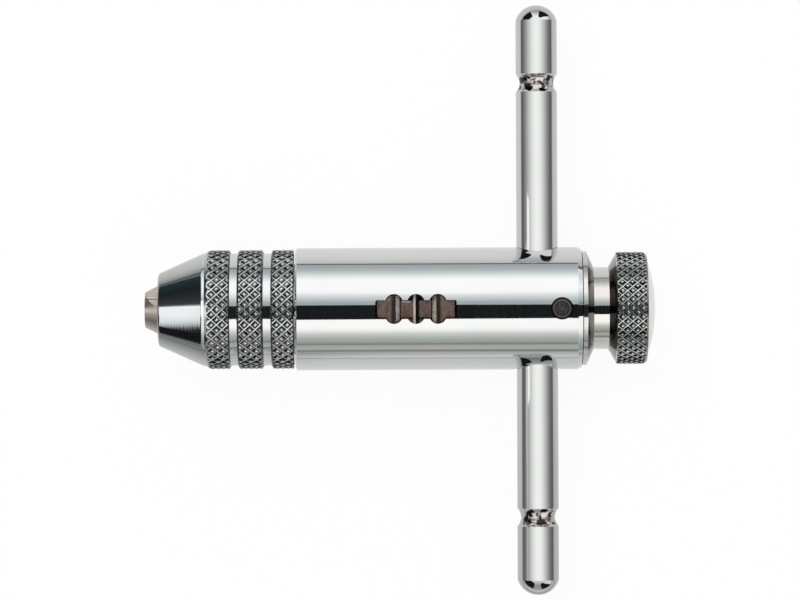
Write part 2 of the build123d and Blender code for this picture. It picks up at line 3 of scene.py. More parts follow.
import bmesh
import bpy
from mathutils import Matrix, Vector


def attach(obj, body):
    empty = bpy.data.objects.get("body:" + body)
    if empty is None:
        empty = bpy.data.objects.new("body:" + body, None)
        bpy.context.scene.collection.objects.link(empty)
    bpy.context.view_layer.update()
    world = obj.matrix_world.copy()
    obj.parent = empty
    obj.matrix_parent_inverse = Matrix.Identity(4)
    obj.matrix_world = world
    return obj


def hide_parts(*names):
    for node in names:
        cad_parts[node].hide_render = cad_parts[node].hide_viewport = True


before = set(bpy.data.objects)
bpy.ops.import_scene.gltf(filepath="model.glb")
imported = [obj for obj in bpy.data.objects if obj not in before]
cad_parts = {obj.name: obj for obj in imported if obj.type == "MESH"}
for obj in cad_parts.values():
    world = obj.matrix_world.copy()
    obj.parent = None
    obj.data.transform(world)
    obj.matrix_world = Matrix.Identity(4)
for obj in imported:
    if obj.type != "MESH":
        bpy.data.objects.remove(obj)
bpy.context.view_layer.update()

# Camera: straight down on the wrench from above the bench. A long lens keeps the
# barrel and the bar in their true outlines, and the camera is rolled by a hair.
mm = 0.001
lens = 200.0
sensor = 36.0
view_width = 133.5 * mm
view_middle = (42.47 * mm, 1.48 * mm)
view_roll = radians(-0.24)

overhead_lens = bpy.data.cameras.new("overhead_lens")
overhead_lens.lens = lens
overhead_lens.sensor_width = sensor
overhead_lens.clip_end = 20.0
overhead_camera = bpy.data.objects.new("overhead_camera", overhead_lens)
overhead_camera.location = (*view_middle, view_width * lens / sensor)
overhead_camera.rotation_euler = (0.0, 0.0, view_roll)
bpy.context.scene.collection.objects.link(overhead_camera)
bpy.context.scene.camera = overhead_camera
bpy.context.scene.view_settings.view_transform = "Standard"


# Bench: a sheet of white paper under the wrench, which lies on its barrel. The camera
# sees it white. Mirrors see painted shade on it: it fades to grey, with a dim strip to
# the south, dusk towards the nose, and a dark band 0.19 to 0.45 m off on every side but
# the south.
micron = 0.001 * mm
bench_height = -10.21 * mm
bench_reach = 2.0
paper_white = (0.86, 0.865, 0.855, 1.0)
paper_grain = 900.0
paper_tooth = 20 * micron
paper_glow = 0.93
fade_reach = (0.0, 0.4)
strip_reach = (-0.07, 0.0)
dusk_reach = (-0.08, 0.02)
dusk_south = -0.08
dusk_slant = 0.25
band_reach = (0.15, 0.55)
band_south = (-0.16, -0.14)
band_dark = (0.08, 0.085, 0.085)


def add_node(tree, kind, **settings):
    """Adds a node and sets its own properties."""
    node = tree.nodes.new(kind)
    for name, value in settings.items():
        setattr(node, name, value)
    return node


def plug_in(tree, socket, value):
    """Links a socket to another node's output, or sets the number or colour it holds."""
    if isinstance(value, bpy.types.NodeSocket):
        tree.links.new(value, socket)
    else:
        socket.default_value = value


def reckon(tree, operation, *values):
    """One step of arithmetic in a node tree."""
    node = add_node(tree, "ShaderNodeMath", operation=operation)
    for socket, value in zip(node.inputs, values):
        plug_in(tree, socket, value)
    return node.outputs[0]


def spread(tree, value, start, end, low, high):
    """Maps a value from one range to another, and holds it at the ends."""
    node = add_node(tree, "ShaderNodeMapRange", clamp=True)
    for socket, number in zip(node.inputs, (value, start, end, low, high)):
        plug_in(tree, socket, number)
    return node.outputs[0]


def tone_run(tree, place, stops):
    """A run of tones, given as (place from 0 to 1, grey or colour)."""
    ramp = add_node(tree, "ShaderNodeValToRGB")
    plug_in(tree, ramp.inputs[0], place)
    band = ramp.color_ramp
    while len(band.elements) < len(stops):
        band.elements.new(0.5)
    # Stops change places while they are moved, so their tones are set afterwards.
    for element, (position, _) in zip(band.elements, stops):
        element.position = position
    for element, (_, tone) in zip(band.elements, stops):
        colour = tone if isinstance(tone, tuple) else (tone, tone, tone)
        element.color = (*colour, 1.0)
    return ramp.outputs[0]


def blended(tree, share, first, second, blend_type="MIX"):
    """Two colours mixed by a share."""
    node = add_node(tree, "ShaderNodeMix", data_type="RGBA", blend_type=blend_type)
    sockets = (node.inputs[0], node.inputs[6], node.inputs[7])
    for socket, value in zip(sockets, (share, first, second)):
        plug_in(tree, socket, (*value, 1.0) if isinstance(value, tuple) else value)
    return node.outputs[2]


def in_parts(tree, vector):
    """The three parts of a vector."""
    node = add_node(tree, "ShaderNodeSeparateXYZ")
    plug_in(tree, node.inputs[0], vector)
    return node.outputs


def object_place(tree):
    """The place of a point in the wrench's own frame."""
    return add_node(tree, "ShaderNodeTexCoord").outputs["Object"]


def distance(tree, one_way, other_way):
    """How far off a point is, from its distances in two ways at right angles."""
    return reckon(tree, "SQRT", reckon(
        tree, "ADD", reckon(tree, "MULTIPLY", one_way, one_way),
        reckon(tree, "MULTIPLY", other_way, other_way)))


def noise(tree, scale, detail=2.0):
    """Irregular tone over a surface, at so many grains to the metre."""
    node = add_node(tree, "ShaderNodeTexNoise")
    plug_in(tree, node.inputs["Vector"], object_place(tree))
    node.inputs["Scale"].default_value = scale
    node.inputs["Detail"].default_value = detail
    return node.outputs[0]


def raised(tree, shader, height, depth):
    """Gives a shader a fine relief, from a height between 0 and 1 and its depth in metres."""
    bump = add_node(tree, "ShaderNodeBump")
    bump.inputs["Distance"].default_value = depth
    plug_in(tree, bump.inputs["Height"], height)
    plug_in(tree, shader.inputs["Normal"], bump.outputs[0])


paper = bpy.data.materials.new("white_paper")
paper.use_nodes = True
tree = paper.node_tree
sheet = tree.nodes["Principled BSDF"]
sheet.inputs["Base Color"].default_value = paper_white
sheet.inputs["Roughness"].default_value = 0.9
sheet.inputs["Specular IOR Level"].default_value = 0.0
raised(tree, sheet, noise(tree, paper_grain), paper_tooth)
x, y = in_parts(tree, object_place(tree))[:2]
from_middle = distance(tree, reckon(tree, "SUBTRACT", x, view_middle[0]), y)
# Painted shade, seen only in mirrors: the sheet greys away from the middle, dims in a strip to the
# south and darkens towards the nose.
sheet_tone = tone_run(tree, spread(tree, from_middle, *fade_reach, 0.0, 1.0), (
    (0.0, (0.86, 0.86, 0.85)),
    (0.09, (0.83, 0.84, 0.83)),
    (0.20, (0.71, 0.73, 0.72)),
    (0.38, (0.60, 0.62, 0.62)),
    (0.46, (0.56, 0.58, 0.58)),
    (0.60, (0.50, 0.52, 0.52)),
))
dim_strip = tone_run(tree, spread(tree, y, *strip_reach, 0.0, 1.0), (
    (0.02, 1.0),
    (0.06, 0.5),
    (0.14, 0.5),
    (0.18, 0.84),
    (0.60, 0.86),
    (1.0, 1.0),
))
far_off = tone_run(tree, spread(tree, from_middle, *band_reach, 0.0, 1.0), (
    (0.10, 0.0),
    (0.11, 1.0),
    (0.74, 1.0),
    (0.76, 0.0),
))
dark_band = reckon(tree, "MULTIPLY", far_off, spread(tree, y, *band_south, 0.0, 1.0))
sideways = reckon(tree, "MULTIPLY", reckon(tree, "MAXIMUM", y, dusk_south), dusk_slant)
slanted = reckon(tree, "ADD", x, sideways)
nose_dusk = tone_run(tree, spread(tree, slanted, *dusk_reach, 0.0, 1.0), (
    (0.0, 0.33),
    (0.23, 0.33),
    (0.47, 0.44),
    (0.60, 0.53),
    (0.70, 0.66),
    (0.80, 0.80),
    (1.0, 1.0),
))
near_tone = blended(tree, 1.0, sheet_tone, dim_strip, "MULTIPLY")
mirrored = blended(
    tree, 1.0, blended(tree, dark_band, near_tone, band_dark), nose_dusk, "MULTIPLY")
rays = add_node(tree, "ShaderNodeLightPath")
seen = reckon(tree, "MAXIMUM", rays.outputs["Is Camera Ray"], rays.outputs["Is Glossy Ray"])
backdrop = blended(tree, rays.outputs["Is Glossy Ray"], (1.0, 1.0, 1.0), mirrored)
glow = add_node(tree, "ShaderNodeEmission")
plug_in(tree, glow.inputs["Color"], backdrop)
blend = add_node(tree, "ShaderNodeMixShader")
plug_in(tree, blend.inputs[0], reckon(tree, "MULTIPLY", seen, paper_glow))
plug_in(tree, blend.inputs[1], sheet.outputs[0])
plug_in(tree, blend.inputs[2], glow.outputs[0])
plug_in(tree, tree.nodes["Material Output"].inputs["Surface"], blend.outputs[0])

bench_corners = ((-1, -1), (1, -1), (1, 1), (-1, 1))
bench_mesh = bpy.data.meshes.new("bench")
bench_mesh.from_pydata(
    [(x * bench_reach, y * bench_reach, bench_height) for x, y in bench_corners],
    [], [(0, 1, 2, 3)])
bench_mesh.materials.append(paper)
bench = bpy.data.objects.new("bench", bench_mesh)
bpy.context.scene.collection.objects.link(bench)


# Studio light: a white tent, bright overhead and half way down both long sides of the
# barrel, with a dim streak just north of the middle, and dark towards the nose. One
# soft lamp gives the shadow, and a few cards are seen only in the metal.
middle_edge = (9 / 180, 10 / 180)
nose_side_edge = (radians(-34), radians(-38.5))
studio = bpy.data.worlds.new("white_tent")
studio.use_nodes = True
bpy.context.scene.world = studio
tree = studio.node_tree
east, north = in_parts(tree, add_node(tree, "ShaderNodeTexCoord").outputs["Generated"])[:2]


def tilt_towards(side):
    """How far a way leans to one side, with -90 to 90 degrees as 0 to 1."""
    return spread(tree, reckon(tree, "ARCSINE", side), radians(-90), radians(90), 0.0, 1.0)


def at(angle):
    """The place of an angle on a run of tones from -90 to 90 degrees."""
    return (angle + 90) / 180


to_north = tilt_towards(north)
to_east = tilt_towards(east)
across = tone_run(tree, to_north, (
    (at(-90), (0.55, 0.56, 0.53)),
    (at(-85), (0.20, 0.21, 0.19)),
    (at(-82), (0.54, 0.55, 0.52)),
    (at(-73), (0.50, 0.51, 0.48)),
    (at(-70), (0.26, 0.26, 0.24)),
    (at(-66), (0.42, 0.45, 0.43)),
    (at(-57), (0.54, 0.58, 0.56)),
    (at(-48), (0.78, 0.82, 0.80)),
    (at(-41), (1.14, 1.16, 1.14)),
    (at(-36), (1.34, 1.33, 1.31)),
    (at(-20), (1.34, 1.34, 1.32)),
    (at(-13), (1.36, 1.37, 1.36)),
    (at(4), (1.35, 1.36, 1.35)),
    (at(8), (0.44, 0.50, 0.52)),
    (at(13), (0.52, 0.57, 0.59)),
    (at(17), (0.66, 0.72, 0.74)),
    (at(21), (0.80, 0.86, 0.88)),
    (at(25), (0.96, 1.00, 1.01)),
    (at(32), (1.26, 1.26, 1.27)),
    (at(38), (1.34, 1.34, 1.35)),
    (at(57), (1.34, 1.33, 1.34)),
    (at(62), (1.17, 1.20, 1.20)),
    (at(70), (0.84, 0.90, 0.92)),
    (at(79), (0.58, 0.63, 0.66)),
    (at(89), (0.48, 0.50, 0.52)),
))
along_middle = tone_run(tree, to_east, (
    (at(-90), 0.09),
    (at(-75), 0.20),
    (at(-61), 0.35),
    (at(-49), 0.52),
    (at(-37), 0.69),
    (at(-25), 0.86),
    (at(-12), 0.97),
    (at(3), 1.0),
    (at(19), 0.90),
    (at(31), 0.72),
    (at(43), 0.53),
    (at(55), 0.35),
    (at(68), 0.20),
    (at(82), 0.12),
    (at(90), 0.10),
))
along_sides = tone_run(tree, to_east, (
    (at(-90), 0.09),
    (at(-61), 0.35),
    (at(-37), 0.69),
    (at(-12), 0.97),
    (at(19), 0.97),
    (at(46), 0.93),
    (at(62), 0.42),
    (at(90), 0.12),
))
lean = reckon(tree, "ABSOLUTE", reckon(tree, "SUBTRACT", to_north, 0.5))
beside_middle = spread(tree, lean, *middle_edge, 0.0, 1.0)
along = blended(tree, beside_middle, along_middle, along_sides)
tent = blended(tree, 1.0, across, along, "MULTIPLY")
nose_side = tone_run(tree, to_north, (
    (at(-41), (0.010, 0.011, 0.011)),
    (at(10), (0.055, 0.064, 0.066)),
    (at(18), (0.034, 0.042, 0.044)),
    (at(27), (0.025, 0.029, 0.031)),
    (at(37), (0.017, 0.020, 0.022)),
    (at(53), (0.018, 0.044, 0.054)),
    (at(66), (0.036, 0.080, 0.100)),
    (at(82), (0.09, 0.14, 0.16)),
))
towards_nose = spread(tree, reckon(tree, "ARCSINE", east), *nose_side_edge, 0.0, 1.0)
inside = blended(tree, reckon(tree, "MULTIPLY", towards_nose, beside_middle), tent, nose_side)
rays = add_node(tree, "ShaderNodeLightPath")
plug_in(tree, tree.nodes["Background"].inputs["Color"],
        blended(tree, rays.outputs["Is Camera Ray"], inside, (1.0, 1.0, 1.0)))

lamp_place = Vector((-0.25, 0.3, 0.75))
lamp_target = Vector((0.04, 0.0, 0.0))
soft_lamp = bpy.data.lights.new("soft_lamp", "AREA")
soft_lamp.shape = "DISK"
soft_lamp.size = 0.5
soft_lamp.energy = 2.4
lamp = bpy.data.objects.new("soft_lamp", soft_lamp)
lamp.location = lamp_place
lamp.rotation_euler = (lamp_place - lamp_target).to_track_quat("Z", "Y").to_euler()
lamp.visible_glossy = False
bpy.context.scene.collection.objects.link(lamp)


def reflector(name, corners, tone):
    """A card that only mirrors see, in millimetres.

    Its tone is a colour, or makes one in a node tree."""
    finish = bpy.data.materials.new(name)
    finish.use_nodes = True
    inner = finish.node_tree
    face = add_node(inner, "ShaderNodeEmission")
    plug_in(inner, face.inputs["Color"], tone(inner) if callable(tone) else (*tone, 1.0))
    plug_in(inner, inner.nodes["Material Output"].inputs["Surface"], face.outputs[0])
    mesh = bpy.data.meshes.new(name)
    mesh.from_pydata(
        [tuple(Vector(corner) * mm) for corner in corners], [], [tuple(range(len(corners)))])
    mesh.materials.append(finish)
    card = bpy.data.objects.new(name, mesh)
    card.visible_camera = False
    card.visible_diffuse = False
    card.visible_shadow = False
    bpy.context.scene.collection.objects.link(card)


def level_reflector(name, height, corners, tone):
    """A reflector that lies level above the wrench."""
    reflector(name, [(x, y, height) for x, y in corners], tone)


def softbox_tone(tree):
    """Dark at the softbox's slanted edge, and at its full tone about 20 mm further in."""
    inward = add_node(tree, "ShaderNodeVectorMath", operation="DOT_PRODUCT")
    plug_in(tree, inward.inputs[0], object_place(tree))
    inward.inputs[1].default_value = (-0.777, 0.630, 0.0)
    return tone_run(tree, spread(tree, inward.outputs["Value"], 25 * mm, 50 * mm, 0.0, 1.0), (
        (0.0, (0.01, 0.011, 0.012)),
        (0.02, (0.10, 0.115, 0.12)),
        (0.07, (0.33, 0.38, 0.40)),
        (0.14, (0.53, 0.59, 0.61)),
        (0.22, (0.72, 0.78, 0.80)),
        (0.32, (0.90, 0.95, 0.96)),
        (0.44, (1.02, 1.06, 1.08)),
        (0.56, (1.12, 1.15, 1.17)),
        (0.84, (1.19, 1.20, 1.22)),
    ))


card_black = (0.012, 0.013, 0.014)
card_white = (1.34, 1.34, 1.34)
level_reflector("dark_strip", 30, ((12, -9.0), (150, -7.6), (150, 3.4), (12, 3.2)), card_black)
level_reflector("nose_softbox", 70, (
    (-92, 12.6), (-64, 12.4), (-64, -19), (-70, -40), (-88, -67), (-136, -128),
    (-150, -145), (-165, -128), (-104, -67), (-88, -40), (-93, -28),
), softbox_tone)
level_reflector("bar_softbox", 66, ((-40, 22), (2, 20), (2, -17), (-40, -19)), card_white)
for name, x, outline in (
    ("left_flag", 0, ((75, -5), (230, -5), (230, 130), (120, 60), (75, 8))),
    ("right_flag", 100, ((75, -5), (220, -5), (220, 130), (120, 60), (80, 10))),
):
    for side in (1, -1):
        reflector(name, [(x, y * side, z) for y, z in outline], card_black)


# Housing: the barrel, a steel tube, turned, milled with the lobed window and the hole
# for the bar, then polished and chromed. It lies on the bench and carries the rest.
chrome_colour = (0.735, 0.74, 0.735)
chrome_shade = (0.71, 0.72, 0.715)
pit_scale = 2600.0
tone_contrast = (0.36, 0.64)
polish_contrast = (0.3, 0.7)
inside_radius = 9.6
bare_and_shaded_inside = (0.06, 0.058, 0.055)
rear_bevel = (71.93, 72.62)
bevel_shade_sides = (5.0, 6.8)
bevel_shade_grey = (0.50, 0.52, 0.53)


def about_axis(tree):
    """Where a point lies along the tool axis, to the side of it, and how far off it."""
    x, y, z = in_parts(tree, object_place(tree))
    return x, y, distance(tree, y, z)


def turned_metal(name, colour, shade, roughness, line_pitch, line_height, patch=9.0, wear=0.0):
    """Metal that was turned about the tool axis: fine rings, and patches of tone.

    The colour runs to the shade in patches of some millimetres, and the roughness runs
    between two values. The rings have a pitch and a height in metres, and wear adds a
    share of fine pits to them."""
    finish = bpy.data.materials.new(name)
    finish.use_nodes = True
    tree = finish.node_tree
    shader = tree.nodes["Principled BSDF"]
    shader.inputs["Metallic"].default_value = 1.0
    x, y, radius = about_axis(tree)
    rings = add_node(tree, "ShaderNodeTexNoise", noise_dimensions="1D")
    plug_in(tree, rings.inputs["W"], reckon(tree, "ADD", x, radius))
    rings.inputs["Scale"].default_value = 1.0 / line_pitch
    rings.inputs["Detail"].default_value = 3.0
    patches = noise(tree, 1.0 / (patch * mm), 5.0)
    pits = noise(tree, pit_scale, 4.0)
    tone = reckon(
        tree, "ADD", reckon(tree, "MULTIPLY", patches, 0.6), reckon(tree, "MULTIPLY", pits, 0.4))
    plug_in(tree, shader.inputs["Base Color"],
            blended(tree, spread(tree, tone, *tone_contrast, 0.0, 1.0), colour, shade))
    polish = reckon(
        tree, "ADD", reckon(tree, "MULTIPLY", patches, 0.5),
        reckon(tree, "MULTIPLY", rings.outputs[0], 0.5))
    plug_in(tree, shader.inputs["Roughness"], spread(tree, polish, *polish_contrast, *roughness))
    height = rings.outputs[0]
    if wear:
        height = reckon(tree, "ADD", height, reckon(tree, "MULTIPLY", pits, wear))
    raised(tree, shader, height, line_height)
    return finish


def between(tree, value, start, end, soft):
    """1 between two places, and 0 beyond them, with soft edges. Sizes in millimetres."""
    rise = spread(tree, value, (start - soft) * mm, start * mm, 0.0, 1.0)
    fall = spread(tree, value, end * mm, (end + soft) * mm, 1.0, 0.0)
    return reckon(tree, "MULTIPLY", rise, fall)


def paint(finish, share, colour):
    """Lays a second colour over the metal's own, by a share."""
    tree = finish.node_tree
    base = tree.nodes["Principled BSDF"].inputs["Base Color"]
    plug_in(tree, base, blended(tree, share, base.links[0].from_socket, colour))


def dress(finish, *nodes):
    """Gives solids of the frame their finish."""
    for node in nodes:
        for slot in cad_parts[node].material_slots:
            slot.material = finish


barrel_chrome = turned_metal(
    "barrel_chrome", chrome_colour, chrome_shade, (0.03, 0.07), 0.9 * mm, 1.5 * micron)
tree = barrel_chrome.node_tree
x, y, radius = about_axis(tree)
# The bore and the window's cut faces within the inside radius are bare steel, painted near black as
# shade.
paint(barrel_chrome, between(tree, radius, 0.0, inside_radius, soft=0.2), bare_and_shaded_inside)
# Painted shade: the rear bevel is painted grey where it lies 5 to 6.8 mm to the side of the axis.
on_side = between(tree, reckon(tree, "ABSOLUTE", y), *bevel_shade_sides, soft=1.6)
on_bevel = between(tree, x, *rear_bevel, soft=0.02)
paint(barrel_chrome, reckon(tree, "MULTIPLY", on_side, on_bevel), bevel_shade_grey)
dress(barrel_chrome, "housing")


# Chuck nose: a chromed steel cone with three knurled bands. It screws along the
# spindle, and the cone bored inside it closes the jaws.
shaded_nose_rear = (24.75, 26.0)
nose_chrome = turned_metal(
    "nose_chrome", chrome_colour, (0.69, 0.70, 0.70), (0.04, 0.09), 0.42 * mm, 2.2 * micron)
tree = nose_chrome.node_tree
x = about_axis(tree)[0]
# Painted shade: the nose's rear end, beside the barrel, is painted black.
paint(nose_chrome, between(tree, x, *shaded_nose_rear, soft=0.03), (0.01, 0.01, 0.01))


def knurled_metal(name, colour, shade, flank, crest, depth):
    """Knurled metal: bright tips and grooves, and painted shade on the flanks between."""
    finish = turned_metal(name, colour, shade, (0.14, 0.24), 0.3 * mm, 2 * micron, patch=1.5)
    tree = finish.node_tree
    radius = about_axis(tree)[2]
    height = spread(tree, radius, (crest - depth) * mm, crest * mm, 0.0, 1.0)
    paint(finish, tone_run(tree, height, (
        (0.05, 0.0),
        (0.13, 1.0),
        (0.56, 0.9),
        (0.80, 0.0),
    )), flank)
    return finish


knurl_crest = 9.95
knurl_depth = 0.30
nose_knurl = knurled_metal(
    "nose_knurl", chrome_colour, (0.62, 0.625, 0.62), (0.05, 0.052, 0.052),
    knurl_crest, knurl_depth)
# The sloped ends of the bands beside the gaps take this dark finish as painted shade.
knurl_end_shade = turned_metal(
    "knurl_end_shade", (0.20, 0.205, 0.205), (0.12, 0.12, 0.12), (0.2, 0.3), 0.3 * mm, 2 * micron,
    patch=1.5)

sharp_angle = radians(24)
nose_sides = 240
nose_outline = (
    (2.22, 4.16), (2.22, 5.60), (2.235, 5.76), (2.29, 5.92), (2.38, 6.05), (2.512, 6.154),
    (2.60, 6.1935), (9.50, 9.2931), (9.60, 9.338), (9.72, 9.385), (10.10, 9.43),
    (14.29, 9.40), (14.60, 9.365), (14.90, 9.352), (15.51, 9.352),
    (19.82, 9.40), (20.14, 9.365), (20.44, 9.352), (21.09, 9.352),
    (24.78, 9.33), (24.87, 9.25), (24.87, 7.60), (24.35, 7.60),
    (24.35, 8.15), (23.45, 8.15), (23.45, 7.60), (9.10, 7.60),
)
knurl_bands = (
    (10.10, 14.29, (0.95, 0.28), (False, True)),
    (15.51, 19.82, (0.33, 0.40), (True, True)),
    (21.09, 24.80, (0.32, 0.06), (True, True)),
)


def turned_shell(outline, sides):
    """A closed shell turned about the tool axis, from (along, radius) points in millimetres."""
    shell = bmesh.new()
    turns = [2 * pi * step / sides for step in range(sides)]
    rings = [
        [shell.verts.new((along * mm, radius * mm * sin(turn), radius * mm * cos(turn)))
         for turn in turns]
        for along, radius in outline]
    for ring, following in zip(rings, rings[1:] + rings[:1]):
        for step in range(sides):
            onward = (step + 1) % sides
            shell.faces.new((ring[step], ring[onward], following[onward], following[step]))
    bmesh.ops.recalc_face_normals(shell, faces=shell.faces[:])
    return shell


def knurl_rule():
    """Node group: small pyramids between crossing grooves, laid round the tool axis."""
    tree = bpy.data.node_groups.new("crossed_knurl", "GeometryNodeTree")
    for name, kind in (
        ("Cells Round", "NodeSocketInt"),
        ("Rows", "NodeSocketInt"),
        ("Cell Length", "NodeSocketFloat"),
        ("Crest Radius", "NodeSocketFloat"),
        ("Groove Depth", "NodeSocketFloat"),
        ("Tip Share", "NodeSocketFloat"),
        ("Groove Share", "NodeSocketFloat"),
        ("Rising Groove Share", "NodeSocketFloat"),
        ("Middle", "NodeSocketFloat"),
        ("Finish", "NodeSocketMaterial"),
    ):
        tree.interface.new_socket(name, in_out="INPUT", socket_type=kind)
    tree.interface.new_socket("Knurl", in_out="OUTPUT", socket_type="NodeSocketGeometry")
    given = add_node(tree, "NodeGroupInput").outputs

    def step(operation, *values):
        return reckon(tree, operation, *values)

    def moved(geometry, x, y, z):
        """The geometry with each point set to a new place."""
        node = add_node(tree, "GeometryNodeSetPosition")
        joined = add_node(tree, "ShaderNodeCombineXYZ")
        for socket, value in zip(joined.inputs, (x, y, z)):
            plug_in(tree, socket, value)
        plug_in(tree, node.inputs["Geometry"], geometry)
        plug_in(tree, node.inputs["Position"], joined.outputs[0])
        return node.outputs[0]

    def position():
        """The three parts of a point's place."""
        return in_parts(tree, add_node(tree, "GeometryNodeInputPosition").outputs[0])

    girth = step("MULTIPLY", given["Crest Radius"], 2 * pi)
    cell_width = step("DIVIDE", girth, given["Cells Round"])

    patch = add_node(tree, "GeometryNodeMeshGrid")
    for name, value in (("Size X", 2.0), ("Size Y", 2.0), ("Vertices X", 6), ("Vertices Y", 6)):
        patch.inputs[name].default_value = value
    tip_line, foot_line, rim_line = 0.2, 0.6, 1.0
    u, v = position()[:2]

    def stretched(value, groove):
        """Moves the patch's inner lines to the pyramid's tip and foot."""
        reach = step("ABSOLUTE", value)
        flank = step("SUBTRACT", step("SUBTRACT", 1.0, groove), given["Tip Share"])
        out = step("ADD", given["Tip Share"], step(
            "ADD", step("MULTIPLY", spread(tree, reach, tip_line, foot_line, 0.0, 1.0), flank),
            step("MULTIPLY", spread(tree, reach, foot_line, rim_line, 0.0, 1.0), groove)))
        return step("MULTIPLY", step("SIGN", value), out)

    wide_u = stretched(u, given["Groove Share"])
    wide_v = stretched(v, given["Rising Groove Share"])
    outward = step("MAXIMUM", step("ABSOLUTE", u), step("ABSOLUTE", v))
    below_tip = spread(tree, outward, tip_line, foot_line, 0.0, 1.0)
    sunk = step("MULTIPLY", below_tip, given["Groove Depth"])
    cell = moved(
        patch.outputs["Mesh"],
        step("MULTIPLY", step("MULTIPLY", step("ADD", wide_u, wide_v), 0.25), given["Cell Length"]),
        step("MULTIPLY", step("MULTIPLY", step("SUBTRACT", wide_u, wide_v), 0.25), cell_width),
        step("MULTIPLY", sunk, -1.0))
    mitred = add_node(tree, "GeometryNodeTriangulate", quad_method="LONGEST_DIAGONAL")
    plug_in(tree, mitred.inputs["Mesh"], cell)

    index = add_node(tree, "GeometryNodeInputIndex").outputs[0]
    row = step("FLOORED_MODULO", index, given["Rows"])
    column = step("FLOOR", step("DIVIDE", index, given["Rows"]))
    stagger = step("MULTIPLY", step("FLOORED_MODULO", column, 2.0), 0.5)
    centred = step("SUBTRACT", row, step("MULTIPLY", given["Rows"], 0.5))
    columns = step("MULTIPLY", given["Cells Round"], 2)
    spots = add_node(tree, "GeometryNodePoints")
    plug_in(tree, spots.inputs["Count"], step("MULTIPLY", columns, given["Rows"]))
    laid = add_node(tree, "ShaderNodeCombineXYZ")
    lengthways = step("MULTIPLY", step("ADD", centred, stagger), given["Cell Length"])
    plug_in(tree, laid.inputs[0], lengthways)
    plug_in(tree, laid.inputs[1], step("MULTIPLY", step("MULTIPLY", column, 0.5), cell_width))
    plug_in(tree, spots.inputs["Position"], laid.outputs[0])
    repeated = add_node(tree, "GeometryNodeInstanceOnPoints")
    plug_in(tree, repeated.inputs["Points"], spots.outputs[0])
    plug_in(tree, repeated.inputs["Instance"], mitred.outputs[0])
    real = add_node(tree, "GeometryNodeRealizeInstances")
    plug_in(tree, real.inputs["Geometry"], repeated.outputs[0])

    along, around, height = position()
    turn = step("DIVIDE", around, given["Crest Radius"])
    radius = step("ADD", given["Crest Radius"], height)
    rolled = moved(
        real.outputs[0], step("ADD", along, given["Middle"]),
        step("MULTIPLY", radius, step("SINE", turn)),
        step("MULTIPLY", radius, step("COSINE", turn)))
    joined = add_node(tree, "GeometryNodeMergeByDistance")
    plug_in(tree, joined.inputs["Geometry"], rolled)
    joined.inputs["Distance"].default_value = 2 * micron
    finished = add_node(tree, "GeometryNodeSetMaterial")
    plug_in(tree, finished.inputs["Geometry"], joined.outputs[0])
    plug_in(tree, finished.inputs["Material"], given["Finish"])
    plug_in(tree, add_node(tree, "NodeGroupOutput").inputs["Knurl"], finished.outputs[0])
    return tree


knurl = knurl_rule()


def draw_in(vertex, limit):
    """Moves a vertex that is further off the tool axis than the limit straight in to it."""
    radius = sqrt(vertex.co.y**2 + vertex.co.z**2)
    if radius > limit:
        vertex.co.y *= limit / radius
        vertex.co.z *= limit / radius


def cut_across(shell, place, outward, close, clear):
    """Cuts a shell square to the tool axis, and may clear away what lies outward."""
    bmesh.ops.bisect_plane(
        shell, geom=shell.verts[:] + shell.edges[:] + shell.faces[:], dist=close,
        plane_co=(place, 0, 0), plane_no=(outward, 0, 0), clear_outer=clear)


def knurled_ring(front, rear, slopes, shaded_ends, drop, crest, depth, core, cells, cell_length, rows,
                 finish):
    """One knurled band as a closed ring, in millimetres.

    Its ends slope down from the crest by the drop. An end marked as shaded takes the next
    finish, which paints shade on it."""
    blank = bpy.data.objects.new("knurl_blank", bpy.data.meshes.new("knurl_blank"))
    bpy.context.scene.collection.objects.link(blank)
    rolling = blank.modifiers.new("knurl", "NODES")
    rolling.node_group = knurl
    sizes = {
        "Cells Round": cells,
        "Rows": rows,
        "Cell Length": cell_length * mm,
        "Crest Radius": crest * mm,
        "Groove Depth": depth * mm,
        "Tip Share": 0.20,
        "Groove Share": 0.07,
        "Rising Groove Share": 0.12,
        "Middle": (front + rear) / 2 * mm,
        "Finish": finish,
    }
    for socket in knurl.interface.items_tree:
        if socket.in_out == "INPUT":
            rolling[socket.identifier] = sizes[socket.name]
    evaluated = blank.evaluated_get(bpy.context.evaluated_depsgraph_get())
    rolled = bpy.data.meshes.new_from_object(evaluated)
    bpy.data.objects.remove(blank)

    ring = bmesh.new()
    ring.from_mesh(rolled)
    bpy.data.meshes.remove(rolled)
    ends = ((front * mm, slopes[0] * mm, 1), (rear * mm, slopes[1] * mm, -1))
    for end, slope, inward in ends:
        for offset, clear in ((0.0, True), (slope / 2, False), (slope, False)):
            cut_across(ring, end + inward * offset, -inward, 0.1 * micron, clear)
    for vertex in ring.verts:
        for end, slope, inward in ends:
            inside = (vertex.co.x - end) * inward
            if inside < slope:
                draw_in(vertex, (crest - drop + drop * inside / slope) * mm)
    rims = []
    for end, slope, inward in ends:
        edges = [edge for edge in ring.edges if edge.is_boundary
                 and all(abs(vertex.co.x - end) < micron for vertex in edge.verts)]
        grown = bmesh.ops.extrude_edge_only(ring, edges=edges)["geom"]
        for item in grown:
            if isinstance(item, bmesh.types.BMVert):
                draw_in(item, core * mm)
        rims += [item for item in grown
                 if isinstance(item, bmesh.types.BMEdge) and item.is_boundary]
    bmesh.ops.bridge_loops(ring, edges=rims)
    bmesh.ops.recalc_face_normals(ring, faces=ring.faces[:])
    for face in ring.faces:
        middle = face.calc_center_median().x
        face.material_index = int(any(
            end_shaded and (middle - end) * inward < slope
            for (end, slope, inward), end_shaded in zip(ends, shaded_ends)))
    return ring


